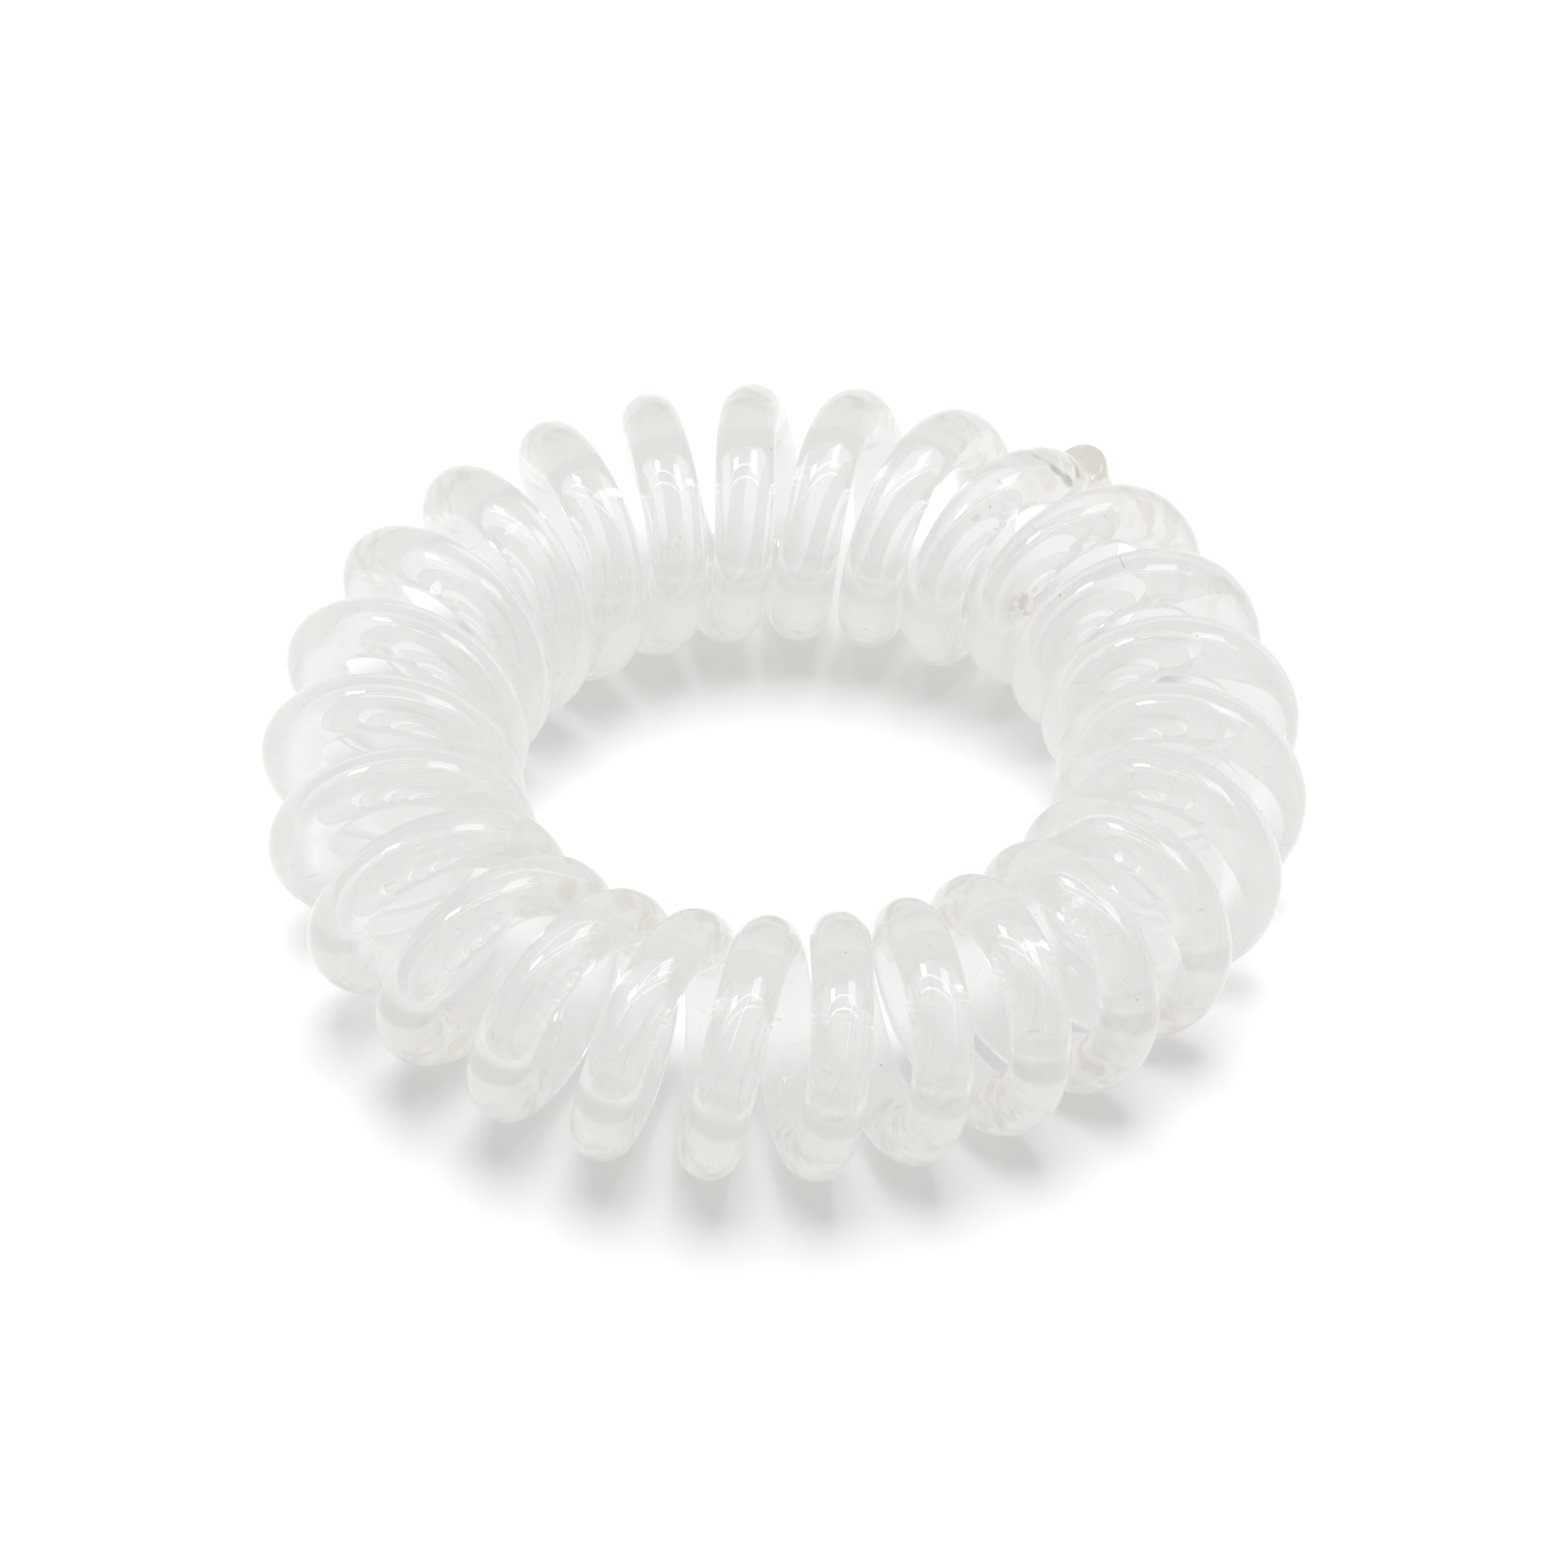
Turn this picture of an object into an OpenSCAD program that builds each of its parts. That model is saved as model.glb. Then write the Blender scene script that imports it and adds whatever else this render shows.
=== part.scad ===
// Spiral hair tie
// One round strand of clear soft plastic is wound into a coil, and the coil closes into a ring.
// The two ends of the strand are welded together, a little out of line with each other.
// The ring lies on z = 0 with its middle over the origin. Millimetres, +Z up.

/* [Ring] */
// Outer diameter of the ring over its turns, as the mean of its length and width
ring_d = 40; // [34:0.5:60]

/* [Coil] */
// Outer diameter of the coil that the strand is wound into
coil_d = 10.15; // [8:0.05:13]
// Diameter of the strand
strand_d = 2.35; // [1.8:0.05:3]
// Clear gap between neighbouring turns where they crowd most, inside the ring
turn_gap = 0.05; // [0.05:0.05:1]

/* [Weld] */
// Place of the weld along the ring, in degrees from +X
weld_ring_angle = 52.9; // [0:0.1:359]
// Place of the weld round the coil, in degrees up from the ring's outside
weld_coil_angle = 31; // [0:1:90]
// How far one welded end stands out past the other
weld_step = 0.7; // [0:0.05:1]
// Depth of the crease between the two ends
weld_crease = 0.2; // [0:0.05:0.4]
// Length of strand over which the end that stands in runs back into line
near_run = 5; // [3:0.5:20]
// Length of strand over which the end that stands out does
far_run = 60; // [20:1:90]

/* [Hidden] */

// How the ring lies: a row for each section of the ring, at even steps from +X.
// Turn shift moves the turns along the ring, in degrees. Ring share and coil share are
// shares of the mean radius of the ring's and of the coil's centreline.
TURN_SHIFT = 1;
RING_SHARE = 2;
COIL_SHARE = 3;
LIE = [
    // ring angle, turn shift, ring share, coil share
    [  0, -1.5, 1.034, 0.955],
    [ 30, -1.4, 1.020, 0.967],
    [ 60, -1.6, 0.982, 0.992],
    [ 90, -1.2, 0.971, 1.014],
    [120, -1.7, 0.995, 1.024],
    [150, -1.1, 1.016, 1.021],
    [180,  0.7, 1.016, 1.016],
    [210,  2.8, 1.010, 1.015],
    [240,  3.3, 0.999, 1.014],
    [270,  2.2, 0.981, 1.005],
    [300,  0.3, 0.977, 0.985],
    [330, -1.0, 1.005, 0.964]
];
sections = len(LIE);
section_angle = 360 / sections;

strand_r = strand_d / 2;
ring_r = (ring_d - coil_d) / 2;
wind_r = (coil_d - strand_d) / 2;

// As many whole turns are wound as fit where the turns crowd most. Room is the inner
// radius that they would have there if they were evenly spaced round the ring.
turn_width = strand_d + turn_gap;
turn_pitch = turn_width / sqrt(1 - pow(turn_width / (2 * PI * wind_r), 2));
room = min([for (i = [0 : sections - 1]) inner_room(i)]);
turns = floor(2 * PI * room / turn_pitch);

strand_sides = 10;
steps_per_turn = 20;
step_len = 2 * PI * wind_r / steps_per_turn;
// Extra rings of points beside the weld, as shares of a step
WELD_STEPS = [0.12, 0.4];

function row(i) = LIE[(i + sections) % sections];
function inner_room(i) =
    let (crowding = 1 + (row(i + 1)[TURN_SHIFT] - row(i - 1)[TURN_SHIFT]) / (2 * section_angle))
    (ring_r * row(i)[RING_SHARE] - wind_r * row(i)[COIL_SHARE]) * crowding;

// Smooth curve through one column of the table, at any ring angle
function lie(column, ring_angle) =
    let (
        x = ring_angle / section_angle,
        i = floor(x),
        f = x - i,
        k = i - sections * floor(i / sections),
        a = row(k - 1)[column],
        b = row(k)[column],
        c = row(k + 1)[column],
        d = row(k + 2)[column]
    )
    b + f / 2 * (c - a + f * (2 * a - 5 * b + 4 * c - d + f * (3 * (b - c) + d - a)));

// The strand's place t is counted in turns from the weld
function coil_angle(t) = weld_coil_angle + 360 * t;
function even_angle(t) = weld_ring_angle + 360 * t / turns;
function ring_angle(t) = even_angle(t) + lie(TURN_SHIFT, even_angle(t));
function coil_r(t) = wind_r * lie(COIL_SHARE, ring_angle(t));
function way(ring_angle, coil_angle) =
    [cos(coil_angle) * cos(ring_angle), cos(coil_angle) * sin(ring_angle), sin(coil_angle)];
function outward(t) = way(ring_angle(t), coil_angle(t));
function coil_middle(t) =
    let (phi = ring_angle(t), r = ring_r * lie(RING_SHARE, phi))
    [r * cos(phi), r * sin(phi), coil_r(t) + strand_r];
function strand_middle(t) = coil_middle(t) + coil_r(t) * outward(t);

function unit(v) = v / norm(v);
function forward(t) = unit(strand_middle(t + 0.002) - strand_middle(t - 0.002));

// From the weld, t runs up from 0 along one end, and up to the last turn along the other
function weld_distance(t) = min(t, turns - t) * steps_per_turn * step_len;
function ease(x) =
    let (s = max(0, 1 - x))
    s * s * (3 - 2 * s);
function weld_shift(t) =
    t == 0 ? weld_step / 4 :
    t < turns / 2 ? -weld_step / 4 * ease(weld_distance(t) / near_run) :
    weld_step * 3 / 4 * ease(weld_distance(t) / far_run);
function crease_share(t) = pow(max(0, 1 - weld_distance(t) / (step_len / 2)), 2);

function strand_ring(t) =
    let (
        out = unit(outward(t) - forward(t) * (outward(t) * forward(t))),
        side = cross(forward(t), out),
        middle = strand_middle(t) + weld_shift(t) * way(ring_angle(t), weld_coil_angle),
        r = strand_r - weld_crease * crease_share(t)
    )
    [for (k = [0 : strand_sides - 1])
        let (a = 360 * k / strand_sides)
        middle + r * (cos(a) * out + sin(a) * side)];

module coil() {
    places = concat(
        [0],
        [for (s = WELD_STEPS) s / steps_per_turn],
        [for (j = [1 : turns * steps_per_turn - 1]) j / steps_per_turn],
        [for (i = [len(WELD_STEPS) - 1 : -1 : 0]) turns - WELD_STEPS[i] / steps_per_turn]
    );
    points = [for (t = places) each strand_ring(t)];
    low = [min([for (p = points) p.x]), min([for (p = points) p.y])];
    high = [max([for (p = points) p.x]), max([for (p = points) p.y])];
    n = strand_sides;
    count = len(points);
    faces = [
        for (i = [0 : n : count - n], k = [0 : n - 1])
            let (
                here = i + k,
                beside = i + (k + 1) % n,
                ahead = (i + n) % count + k,
                across = (i + n) % count + (k + 1) % n
            )
            each [[here, ahead, across], [here, across, beside]]
    ];
    color([0.93, 0.94, 0.92])
    translate([-(low.x + high.x) / 2, -(low.y + high.y) / 2, 0])
    polyhedron(points, faces);
}

coil();
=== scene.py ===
import math

import bpy
import numpy as np
from mathutils import Matrix, Vector


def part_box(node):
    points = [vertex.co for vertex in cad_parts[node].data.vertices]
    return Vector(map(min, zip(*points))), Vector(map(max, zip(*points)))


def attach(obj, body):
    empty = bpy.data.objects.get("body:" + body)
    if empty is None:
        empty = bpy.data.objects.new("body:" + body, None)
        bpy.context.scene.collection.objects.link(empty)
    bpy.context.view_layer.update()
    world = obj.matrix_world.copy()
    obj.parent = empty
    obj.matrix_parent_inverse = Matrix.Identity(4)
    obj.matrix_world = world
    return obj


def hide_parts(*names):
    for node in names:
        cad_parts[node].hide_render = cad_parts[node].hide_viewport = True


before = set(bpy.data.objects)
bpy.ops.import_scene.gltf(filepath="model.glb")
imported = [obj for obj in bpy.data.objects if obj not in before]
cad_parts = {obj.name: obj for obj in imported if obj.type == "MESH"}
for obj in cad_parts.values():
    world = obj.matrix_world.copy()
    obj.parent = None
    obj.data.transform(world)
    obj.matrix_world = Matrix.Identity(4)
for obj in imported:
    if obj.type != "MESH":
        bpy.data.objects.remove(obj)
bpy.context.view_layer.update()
bpy.ops.object.select_all(action="DESELECT")
scene = bpy.context.scene
MM = 0.001

# The camera
# A long lens looks down at the ring from in front, so that its hole shows as a wide oval.
# It is turned a touch about its own axis, as it was held.
VIEW_ANGLE = math.radians(45.5)
VIEW_ROLL = math.radians(-0.4)
VIEW_DISTANCE = 386.6 * MM
VIEW_LENS = 229.0
AIM = Vector((0.05, -0.31, 4.77)) * MM

view_turn = Matrix.Rotation(math.pi / 2 - VIEW_ANGLE, 4, "X") @ Matrix.Rotation(VIEW_ROLL, 4, "Z")
bpy.ops.object.camera_add()
camera = bpy.context.object
camera.name = "camera"
camera.data.sensor_width = 36.0
camera.data.lens = VIEW_LENS
camera.data.clip_start = 0.01
camera.data.clip_end = 20.0
camera.matrix_world = Matrix.Translation(AIM) @ view_turn @ Matrix.Translation((0, 0, VIEW_DISTANCE))
scene.camera = camera

# The surface and the light
# The ring lies on a white sheet in a white room. A broad lamp overhead lights the sheet, and
# two soft boxes and two long thin lights mirror in the plastic.
FLOOR_SIDE = 3.0
FLOOR_COLOR = (0.9, 0.9, 0.9, 1)
GLOW_PLACE = (0.017, 0, 0)
GLOW_RADIUS = 11.0 * MM
GLOW_BRIGHTNESS = 0.17
ROOM_BRIGHTNESS = 0.75
SHARE_ON_SHEET = 0.84
LAMP_UP = 0.6
MIRRORINGS = 16

scene.view_settings.view_transform = "Standard"
scene.view_settings.look = "None"
scene.cycles.max_bounces = MIRRORINGS
scene.cycles.transmission_bounces = MIRRORINGS
scene.cycles.glossy_bounces = MIRRORINGS
scene.cycles.blur_glossy = 0.0

bpy.ops.mesh.primitive_plane_add(size=FLOOR_SIDE)
floor = bpy.context.object
floor.name = "floor"
white_sheet = bpy.data.materials.new("white_sheet")
white_sheet.use_nodes = True
paper = white_sheet.node_tree.nodes["Principled BSDF"]
paper.inputs["Base Color"].default_value = FLOOR_COLOR
paper.inputs["Roughness"].default_value = 0.9
paper.inputs["Specular IOR Level"].default_value = 0.0
# A faint round glow on the sheet under both sides of the ring stands in for the light that the
# plastic gathers there.
sheet_nodes, sheet_links = white_sheet.node_tree.nodes, white_sheet.node_tree.links
on_sheet = sheet_nodes.new("ShaderNodeTexCoord")
beside_middle = sheet_nodes.new("ShaderNodeVectorMath")
beside_middle.operation = "ABSOLUTE"
sheet_links.new(on_sheet.outputs["Object"], beside_middle.inputs[0])
from_glow = sheet_nodes.new("ShaderNodeVectorMath")
from_glow.operation = "DISTANCE"
from_glow.inputs[1].default_value = GLOW_PLACE
sheet_links.new(beside_middle.outputs["Vector"], from_glow.inputs[0])
glow = sheet_nodes.new("ShaderNodeMapRange")
glow.interpolation_type = "SMOOTHSTEP"
glow.inputs["From Min"].default_value = GLOW_RADIUS / 2
glow.inputs["From Max"].default_value = GLOW_RADIUS
glow.inputs["To Min"].default_value = GLOW_BRIGHTNESS
glow.inputs["To Max"].default_value = 0.0
sheet_links.new(from_glow.outputs["Value"], glow.inputs["Value"])
sheet_links.new(glow.outputs["Result"], paper.inputs["Emission Strength"])
paper.inputs["Emission Color"].default_value = (1, 1, 1, 1)
floor.data.materials.append(white_sheet)

room = bpy.data.worlds.new("white_room")
room.use_nodes = True
scene.world = room
walls = room.node_tree.nodes
path = walls.new("ShaderNodeLightPath")
brightness = walls.new("ShaderNodeMapRange")
brightness.inputs["To Min"].default_value = ROOM_BRIGHTNESS
brightness.inputs["To Max"].default_value = ROOM_BRIGHTNESS * SHARE_ON_SHEET
walls["Background"].inputs["Color"].default_value = (1, 1, 1, 1)
from_sheet = walls.new("ShaderNodeMath")
from_sheet.operation = "MAXIMUM"
room.node_tree.links.new(path.outputs["Is Diffuse Ray"], from_sheet.inputs[0])
room.node_tree.links.new(path.outputs["Diffuse Depth"], from_sheet.inputs[1])
room.node_tree.links.new(from_sheet.outputs["Value"], brightness.inputs["Value"])
room.node_tree.links.new(brightness.outputs["Result"], walls["Background"].inputs["Strength"])


def lamp(name, x, y, size_x, size_y, watts, on_sheet):
    """A lamp turned to the ring, which lights the sheet alone or the plastic alone."""
    place = Vector((x, y, LAMP_UP))
    bpy.ops.object.light_add(type="AREA")
    light = bpy.context.object
    light.name = name
    light.data.shape = "RECTANGLE"
    light.data.size, light.data.size_y = size_x, size_y
    light.data.energy = watts
    light.matrix_world = Matrix.Translation(place) @ place.to_track_quat("Z", "Y").to_matrix().to_4x4()
    if on_sheet:
        light.visible_glossy = light.visible_transmission = False
        return
    light.visible_diffuse = False
    light.data.use_nodes = True
    nodes, links = light.data.node_tree.nodes, light.data.node_tree.links
    path = nodes.new("ShaderNodeLightPath")
    strength = nodes.new("ShaderNodeMapRange")
    strength.inputs["To Min"].default_value = 1.0
    strength.inputs["To Max"].default_value = 0.0
    links.new(path.outputs["Diffuse Depth"], strength.inputs["Value"])
    links.new(strength.outputs["Result"], nodes["Emission"].inputs["Strength"])


lamp("lamp_overhead", 0, 0.085, 0.36, 0.46, 2.4, True)
lamp("soft_box_left", -0.38, 0.06, 0.12, 0.18, 1.0, False)
lamp("soft_box_right", 0.38, 0.06, 0.27, 0.3, 0.8, False)
lamp("thin_light_back", 0, -0.006, 2.0, 0.016, 0.6, False)
lamp("thin_light_front", 0, -0.13, 2.0, 0.016, 0.6, False)

# The strand
# One round strand of clear soft plastic, drawn through a die, wound round a rod to a coil and
# bent into a ring. Its ends are melted together, one standing out a little past the other.
RING_D = 40.0 * MM
COIL_D = 10.15 * MM
STRAND_D = 2.35 * MM
TURNS = 26
WELD_RING_ANGLE = 52.9
WELD_COIL_ANGLE = 31.0
WELD_STEP = 0.7 * MM
WELD_CREASE = 0.2 * MM
NEAR_RUN = 5.0 * MM
FAR_RUN = 60.0 * MM
# How the ring lies: for each section of the ring, at even steps from +X, the shift of its
# turns in degrees, and the shares of the mean radius of the ring and of the coil.
TURN_SHIFT, RING_SHARE, COIL_SHARE = 0, 1, 2
LIE = (
    (-1.5, 1.034, 0.955),
    (-1.4, 1.020, 0.967),
    (-1.6, 0.982, 0.992),
    (-1.2, 0.971, 1.014),
    (-1.7, 0.995, 1.024),
    (-1.1, 1.016, 1.021),
    (0.7, 1.016, 1.016),
    (2.8, 1.010, 1.015),
    (3.3, 0.999, 1.014),
    (2.2, 0.981, 1.005),
    (0.3, 0.977, 0.985),
    (-1.0, 1.005, 0.964),
)
STEPS_PER_TURN = 76
STRAND_SIDES = 40
CREASE_WIDTH = 0.35 * MM
# Shares of the weld's step: how far each end stands off, dips close by and curls at its edge
FAR_OFF, FAR_DIP, FAR_CURL = 0.75, 0.2, 0.3
NEAR_OFF, NEAR_CURL = 0.25, 0.5
LIP = 0.4 * MM
LIP_RUN = 1.1 * MM
CREASE_STEPS = 16

strand_r = STRAND_D / 2
ring_r = (RING_D - COIL_D) / 2
wind_r = (COIL_D - STRAND_D) / 2
turn_len = 2 * math.pi * wind_r


def lie(column, ring_angle):
    """Smooth curve through one column of the table, at an array of ring angles in degrees."""
    rows = np.array(LIE)[:, column]
    x = ring_angle / 360 * len(rows)
    i = np.floor(x).astype(int)
    f = x - i
    a, b, c, d = (rows[(i + k) % len(rows)] for k in (-1, 0, 1, 2))
    return b + f / 2 * (c - a + f * (2 * a - 5 * b + 4 * c - d + f * (3 * (b - c) + d - a)))


def way(ring_angle, coil_angle):
    """Unit vectors across the coil, from its middle, at the given angles in degrees."""
    phi, theta = np.broadcast_arrays(np.radians(ring_angle), np.radians(coil_angle))
    return np.stack([np.cos(theta) * np.cos(phi), np.cos(theta) * np.sin(phi), np.sin(theta)], -1)


def ring_angle(t):
    even = WELD_RING_ANGLE + 360 * t / TURNS
    return even + lie(TURN_SHIFT, even)


def strand_middle(t):
    """The strand's centreline, t turns on from the weld, before the weld's step."""
    phi = ring_angle(t)
    coil_r = wind_r * lie(COIL_SHARE, phi)
    middle = (ring_r * lie(RING_SHARE, phi))[:, None] * way(phi, 0)
    middle[:, 2] += coil_r + strand_r
    return middle + coil_r[:, None] * way(phi, WELD_COIL_ANGLE + 360 * t)


def ease(x):
    s = np.clip(1 - x, 0, 1)
    return s * s * (3 - 2 * s)


def unit(v):
    return v / np.linalg.norm(v, axis=-1, keepdims=True)


near_weld = CREASE_WIDTH / turn_len * np.linspace(0, 1, CREASE_STEPS, endpoint=False) ** 2
along = np.linspace(CREASE_WIDTH / turn_len, TURNS - CREASE_WIDTH / turn_len, TURNS * STEPS_PER_TURN)
t = np.concatenate([near_weld, along, TURNS - near_weld[::-1]])

bpy.ops.mesh.primitive_grid_add(x_subdivisions=STRAND_SIDES, y_subdivisions=len(t) - 1, size=1)
strand = bpy.context.object
strand.name = "strand"
mesh = strand.data
flat = np.empty(len(mesh.vertices) * 3)
mesh.vertices.foreach_get("co", flat)
flat = flat.reshape(-1, 3)
column = np.rint((flat[:, 0] + 0.5) * STRAND_SIDES).astype(int)
place = np.rint((flat[:, 1] + 0.5) * (len(t) - 1)).astype(int)

from_weld = np.minimum(t, TURNS - t) * turn_len
to_weld = np.clip(1 - from_weld / CREASE_WIDTH, 0, 1)
rounded = 1 - np.sqrt(1 - to_weld ** 2)
flared = to_weld ** 2
far_end = t > TURNS / 2
step = np.where(
    far_end,
    WELD_STEP * (
        FAR_OFF * ease(from_weld / FAR_RUN) - FAR_DIP * ease(from_weld / NEAR_RUN) - FAR_CURL * rounded
    )
    + LIP * (ease(from_weld / LIP_RUN) - rounded),
    WELD_STEP * (NEAR_CURL * flared - NEAR_OFF * ease(from_weld / NEAR_RUN)),
)
forward = unit(strand_middle(t + 0.002) - strand_middle(t - 0.002))
phi = ring_angle(t)
out = way(phi, WELD_COIL_ANGLE + 360 * t)
out = unit(out - forward * np.sum(out * forward, -1, keepdims=True))
side = np.cross(forward, out)
middle = strand_middle(t) + step[:, None] * way(phi, WELD_COIL_ANGLE)
radius = strand_r - WELD_CREASE * np.where(far_end, rounded, flared)
turned = 2 * np.pi * column / STRAND_SIDES
wound = (
    middle[place]
    + (radius[place] * np.cos(turned))[:, None] * out[place]
    + (radius[place] * np.sin(turned))[:, None] * side[place]
)
low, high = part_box("coil")
for axis in (0, 1):
    wound[:, axis] += (low[axis] + high[axis]) / 2 - (wound[:, axis].min() + wound[:, axis].max()) / 2
mesh.vertices.foreach_set("co", wound.ravel())

uv = mesh.uv_layers.active
uv.name = "along_strand"
corner = np.empty(len(mesh.loops), dtype=int)
mesh.loops.foreach_get("vertex_index", corner)
strand_uv = np.stack([column[corner] / STRAND_SIDES, t[place[corner]]], -1)
uv.data.foreach_set("uv", strand_uv.ravel())
mesh.update()

bpy.ops.object.mode_set(mode="EDIT")
bpy.ops.mesh.select_all(action="SELECT")
bpy.ops.mesh.remove_doubles(threshold=0.001 * MM)
bpy.ops.mesh.normals_make_consistent(inside=False)
bpy.ops.object.mode_set(mode="OBJECT")
bpy.ops.object.shade_smooth()

# The plastic is clear and smooth but faintly milky: what lies behind it pales, and in its place the
# inside glows with a painted warm light of its own, which stands in for the light its milk scatters, so
# where it is thick it looks warm. Fine lines from the die run along it.
PLASTIC_IOR = 1.5
PLASTIC_COLOR = (0.98, 0.98, 0.98, 1)
# Colour and brightness of the painted glow inside the plastic
HAZE_GLOW_COLOR = (1.0, 0.995, 0.965, 1)
HAZE_GLOW_BRIGHTNESS = 0.775
HAZE_DENSITY = 380.0
DIE_LINES = 14.0
DIE_LINE_DEPTH = 0.002 * MM
WAVES = 2.0
FINE_PER_MM, BROAD_PER_MM, EDGE_ON_TINT_PER_MM = 2.5, 0.7, 1.4
# Colour of the painted warm shade on the rims seen edge-on
EDGE_ON_TINT_COLOR = (0.85, 0.82, 0.745, 1)
BAND_COLOR = (0.79, 0.79, 0.78, 1)
BAND_ANGLE = 9.5
HAIRLINE_COLOR = (0.6, 0.59, 0.56, 1)
HAIRLINE_STRENGTH = 0.45
HAIRLINES_PER_TURN, HAIRLINES_ROUND = 13.0, 11.0
SPECK_COLOR = (0.4, 0.39, 0.35, 1)
SPECK_CELLS_PER_MM, SPECK_RADIUS, SPECK_SHARE = 0.8, 0.04, 0.5
MARK_COLOR = (0.4, 0.4, 0.34, 1)
STAIN_COLOR = (0.75, 0.68, 0.58, 1)
STAIN_PLACE = (9.8, 7.2, 6.9)
STAIN_RADIUS = 1.3
NUB_COLOR = (0.84, 0.76, 0.64, 1)
NUB_PLACE = (12.7, 14.4, 7.4)
NUB_RADIUS = 1.4
# Dark marks beside the weld and on a turn at the back: both ends and the width, in mm, and
# how dark they are
MARKS = (
    ((10.0, 12.8, 9.7), (10.9, 12.6, 9.0), 0.14, 0.6),
    ((10.7, 12.6, 9.25), (11.4, 12.8, 8.3), 0.17, 0.9),
    ((11.3, 12.75, 8.45), (11.45, 12.85, 8.2), 0.17, 0.9),
    ((11.45, 13.9, 8.6), (11.75, 13.3, 8.2), 0.15, 0.85),
    ((-0.5, 13.5, 9.6), (-0.15, 13.4, 9.55), 0.07, 1.0),
)
plastic = bpy.data.materials.new("clear_plastic")
plastic.use_nodes = True
nodes, links = plastic.node_tree.nodes, plastic.node_tree.links
body = nodes["Principled BSDF"]
body.inputs["Roughness"].default_value = 0.0
body.inputs["IOR"].default_value = PLASTIC_IOR
body.inputs["Transmission Weight"].default_value = 1.0

dimming = nodes.new("ShaderNodeVolumeAbsorption")
dimming.inputs["Color"].default_value = (0, 0, 0, 1)
dimming.inputs["Density"].default_value = HAZE_DENSITY
# Painted light: the inside of the plastic glows warm of itself, though it is no lamp, in place of the
# light its milk would scatter.
haze_glow = nodes.new("ShaderNodeEmission")
haze_glow.inputs["Color"].default_value = HAZE_GLOW_COLOR
haze_glow.inputs["Strength"].default_value = HAZE_DENSITY * HAZE_GLOW_BRIGHTNESS
dimming_and_glow = nodes.new("ShaderNodeAddShader")
links.new(dimming.outputs["Volume"], dimming_and_glow.inputs[0])
links.new(haze_glow.outputs["Emission"], dimming_and_glow.inputs[1])
links.new(dimming_and_glow.outputs["Shader"], nodes["Material Output"].inputs["Volume"])


def math_node(operation, first, second=None):
    """A Math node on one value or two, each linked or plain."""
    node = nodes.new("ShaderNodeMath")
    node.operation = operation
    for value, socket in zip((first, second), node.inputs):
        if isinstance(value, bpy.types.NodeSocket):
            links.new(value, socket)
        elif value is not None:
            socket.default_value = value
    return node.outputs["Value"]


def ramp(value, low, high):
    """0 up to low and 1 from high on, with a smooth rise between."""
    node = nodes.new("ShaderNodeMapRange")
    node.interpolation_type = "SMOOTHSTEP"
    node.inputs["From Min"].default_value = low
    node.inputs["From Max"].default_value = high
    links.new(value, node.inputs["Value"])
    return node.outputs["Result"]


def noise(vector, scale, detail=1.0):
    node = nodes.new("ShaderNodeTexNoise")
    node.inputs["Scale"].default_value = scale
    node.inputs["Detail"].default_value = detail
    links.new(vector, node.inputs["Vector"])
    return node.outputs["Fac"]


def vector_math(operation, first, second, output="Vector"):
    """A Vector Math node on two vectors, each linked or plain."""
    node = nodes.new("ShaderNodeVectorMath")
    node.operation = operation
    for value, socket in zip((first, second), node.inputs):
        if isinstance(value, bpy.types.NodeSocket):
            links.new(value, socket)
        else:
            socket.default_value = value
    return node.outputs[output]


def tint(under, mask, color):
    """The colour under, turned to another colour where the mask is 1."""
    node = nodes.new("ShaderNodeMix")
    node.data_type = "RGBA"
    links.new(mask, node.inputs[0])
    if isinstance(under, bpy.types.NodeSocket):
        links.new(under, node.inputs[6])
    else:
        node.inputs[6].default_value = under
    node.inputs[7].default_value = color
    return node.outputs[2]


def round_place(place, radius):
    """A soft round mask about a place in mm."""
    away = vector_math("DISTANCE", in_mm, place, "Value")
    return math_node("SUBTRACT", 1.0, ramp(away, radius * 0.5, radius))


def thin_lines(value, width):
    """A thin line wherever the value passes a half, once for each whole number."""
    off = math_node("ABSOLUTE", math_node("SUBTRACT", math_node("FRACT", value), 0.5))
    return math_node("LESS_THAN", off, width)


# Places for the patterns: in the part in mm, once round the strand as a circle, and along it
# by turns.
place_in = nodes.new("ShaderNodeTexCoord")
in_mm = vector_math("SCALE", place_in.outputs["Object"], (0, 0, 0))
in_mm.node.inputs["Scale"].default_value = 1 / MM
on_strand = nodes.new("ShaderNodeUVMap")
on_strand.uv_map = "along_strand"
split = nodes.new("ShaderNodeSeparateXYZ")
links.new(on_strand.outputs["UV"], split.inputs["Vector"])
turns_on = split.outputs["Y"]
angle = math_node("MULTIPLY", split.outputs["X"], 2 * math.pi)
circle = nodes.new("ShaderNodeCombineXYZ")
links.new(math_node("COSINE", angle), circle.inputs["X"])
links.new(math_node("SINE", angle), circle.inputs["Y"])
links.new(turns_on, circle.inputs["Z"])
drawn_out = vector_math("MULTIPLY", circle.outputs["Vector"], (1, 1, 0.04))
fine = noise(in_mm, FINE_PER_MM)
broad = noise(in_mm, BROAD_PER_MM, 0.0)

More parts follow.
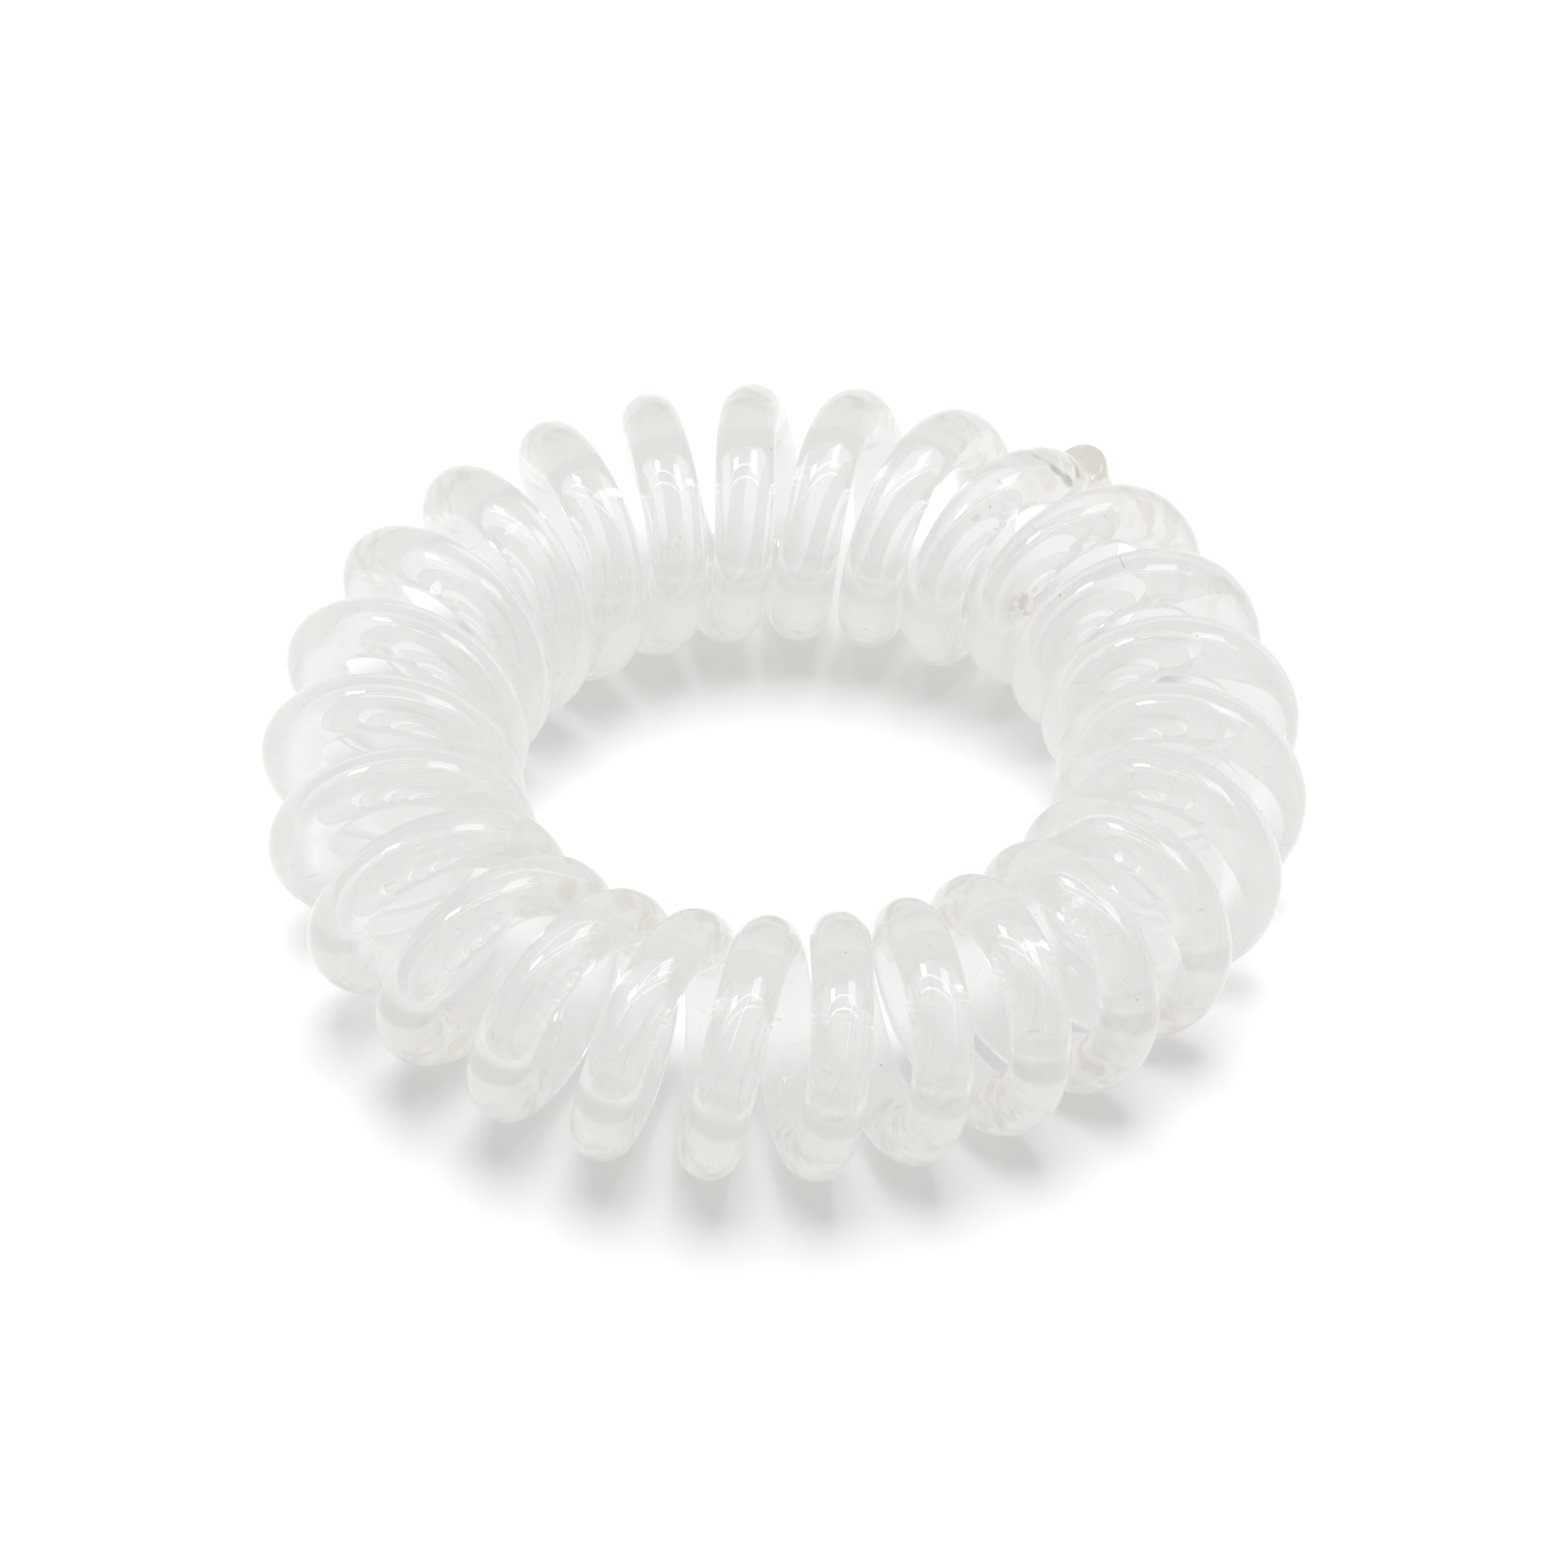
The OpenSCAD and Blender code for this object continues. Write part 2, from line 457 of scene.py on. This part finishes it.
# Painted warm shade in brown patches on the rims that the camera sees edge-on: at the back the outer
# upper and inner lower ones, in front the inner upper and outer lower ones. It stands in for the warm
# tint of light that passes the long way through the plastic there.
unwound = math_node("MULTIPLY", turns_on, 2 * math.pi)
wound_angle = math_node("ADD", unwound, math.radians(WELD_COIL_ANGLE))
axes = nodes.new("ShaderNodeSeparateXYZ")
links.new(in_mm, axes.inputs["Vector"])
on_rims = math_node("SINE", math_node("MULTIPLY", wound_angle, 2.0))
to_rim = math_node("MULTIPLY", on_rims, axes.outputs["Y"])
painted_edge_on_tint = math_node("MULTIPLY", ramp(to_rim, 3.0, 10.0), ramp(noise(in_mm, EDGE_ON_TINT_PER_MM), 0.44, 0.62))
color = tint(PLASTIC_COLOR, painted_edge_on_tint, EDGE_ON_TINT_COLOR)

# A soft grey band on the forward side of the turns, outside in front and inside at the back,
# fading out toward the sides. It stands in for a dark band of light bent in the plastic.
half = math_node("SIGN", axes.outputs["Y"])
beside_band = math_node("ADD", wound_angle, math_node("MULTIPLY", half, math.radians(BAND_ANGLE)))
to_band = math_node("MULTIPLY", math_node("COSINE", beside_band), math_node("MULTIPLY", half, -1.0))
off_sides = ramp(math_node("ABSOLUTE", axes.outputs["Y"]), 5.0, 13.0)
color = tint(color, math_node("MULTIPLY", ramp(to_band, 0.99, 0.9995), off_sides), BAND_COLOR)

# Broken hairlines across the strand and along it
across = thin_lines(math_node("ADD", math_node("MULTIPLY", turns_on, HAIRLINES_PER_TURN), broad), 0.01)
lines_round = math_node("MULTIPLY", split.outputs["X"], HAIRLINES_ROUND)
lengthwise = thin_lines(math_node("ADD", lines_round, broad), 0.014)
broken = ramp(fine, 0.56, 0.66)
hairlines = math_node("MULTIPLY", math_node("MAXIMUM", across, lengthwise), broken)
color = tint(color, math_node("MULTIPLY", hairlines, HAIRLINE_STRENGTH), HAIRLINE_COLOR)

# Dark specks, a brown stain on a turn beside the weld, and the scorched end of the strand
cells = nodes.new("ShaderNodeTexVoronoi")
cells.inputs["Scale"].default_value = SPECK_CELLS_PER_MM
links.new(in_mm, cells.inputs["Vector"])
chance = nodes.new("ShaderNodeSeparateXYZ")
links.new(cells.outputs["Color"], chance.inputs["Vector"])
specks = math_node("MULTIPLY", math_node("LESS_THAN", cells.outputs["Distance"], SPECK_RADIUS),
                   math_node("GREATER_THAN", chance.outputs["X"], SPECK_SHARE))
color = tint(color, specks, SPECK_COLOR)
stain = math_node("MULTIPLY", round_place(STAIN_PLACE, STAIN_RADIUS), ramp(fine, 0.48, 0.56))
color = tint(color, stain, STAIN_COLOR)
scorch = math_node("MULTIPLY", round_place(NUB_PLACE, NUB_RADIUS), ramp(fine, 0.2, 0.6))
color = tint(color, scorch, NUB_COLOR)
for start, end, width, darkness in MARKS:
    way_on = [b - a for a, b in zip(start, end)]
    length = math.hypot(*way_on)
    from_start = vector_math("SUBTRACT", in_mm, start)
    reach = vector_math("DOT_PRODUCT", from_start, [v / length ** 2 for v in way_on], "Value")
    clamped = nodes.new("ShaderNodeClamp")
    links.new(reach, clamped.inputs["Value"])
    nearest = vector_math("SCALE", way_on, (0, 0, 0))
    links.new(clamped.outputs["Result"], nearest.node.inputs["Scale"])
    away = vector_math("DISTANCE", from_start, nearest, "Value")
    ragged = math_node("ADD", away, math_node("MULTIPLY", math_node("SUBTRACT", fine, 0.5), width))
    mark = math_node("SUBTRACT", 1.0, ramp(ragged, width * 0.2, width * 1.5))
    color = tint(color, math_node("MULTIPLY", mark, darkness), MARK_COLOR)
links.new(color, body.inputs["Base Color"])

# Lines from the die, and the slight waves of a strand that cooled in the air
waves = math_node("MULTIPLY", broad, WAVES)
relief = nodes.new("ShaderNodeBump")
relief.inputs["Distance"].default_value = DIE_LINE_DEPTH
links.new(math_node("ADD", noise(drawn_out, DIE_LINES), waves), relief.inputs["Height"])
links.new(relief.outputs["Normal"], body.inputs["Normal"])
mesh.materials.append(plastic)

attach(strand, "root")
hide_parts("coil")
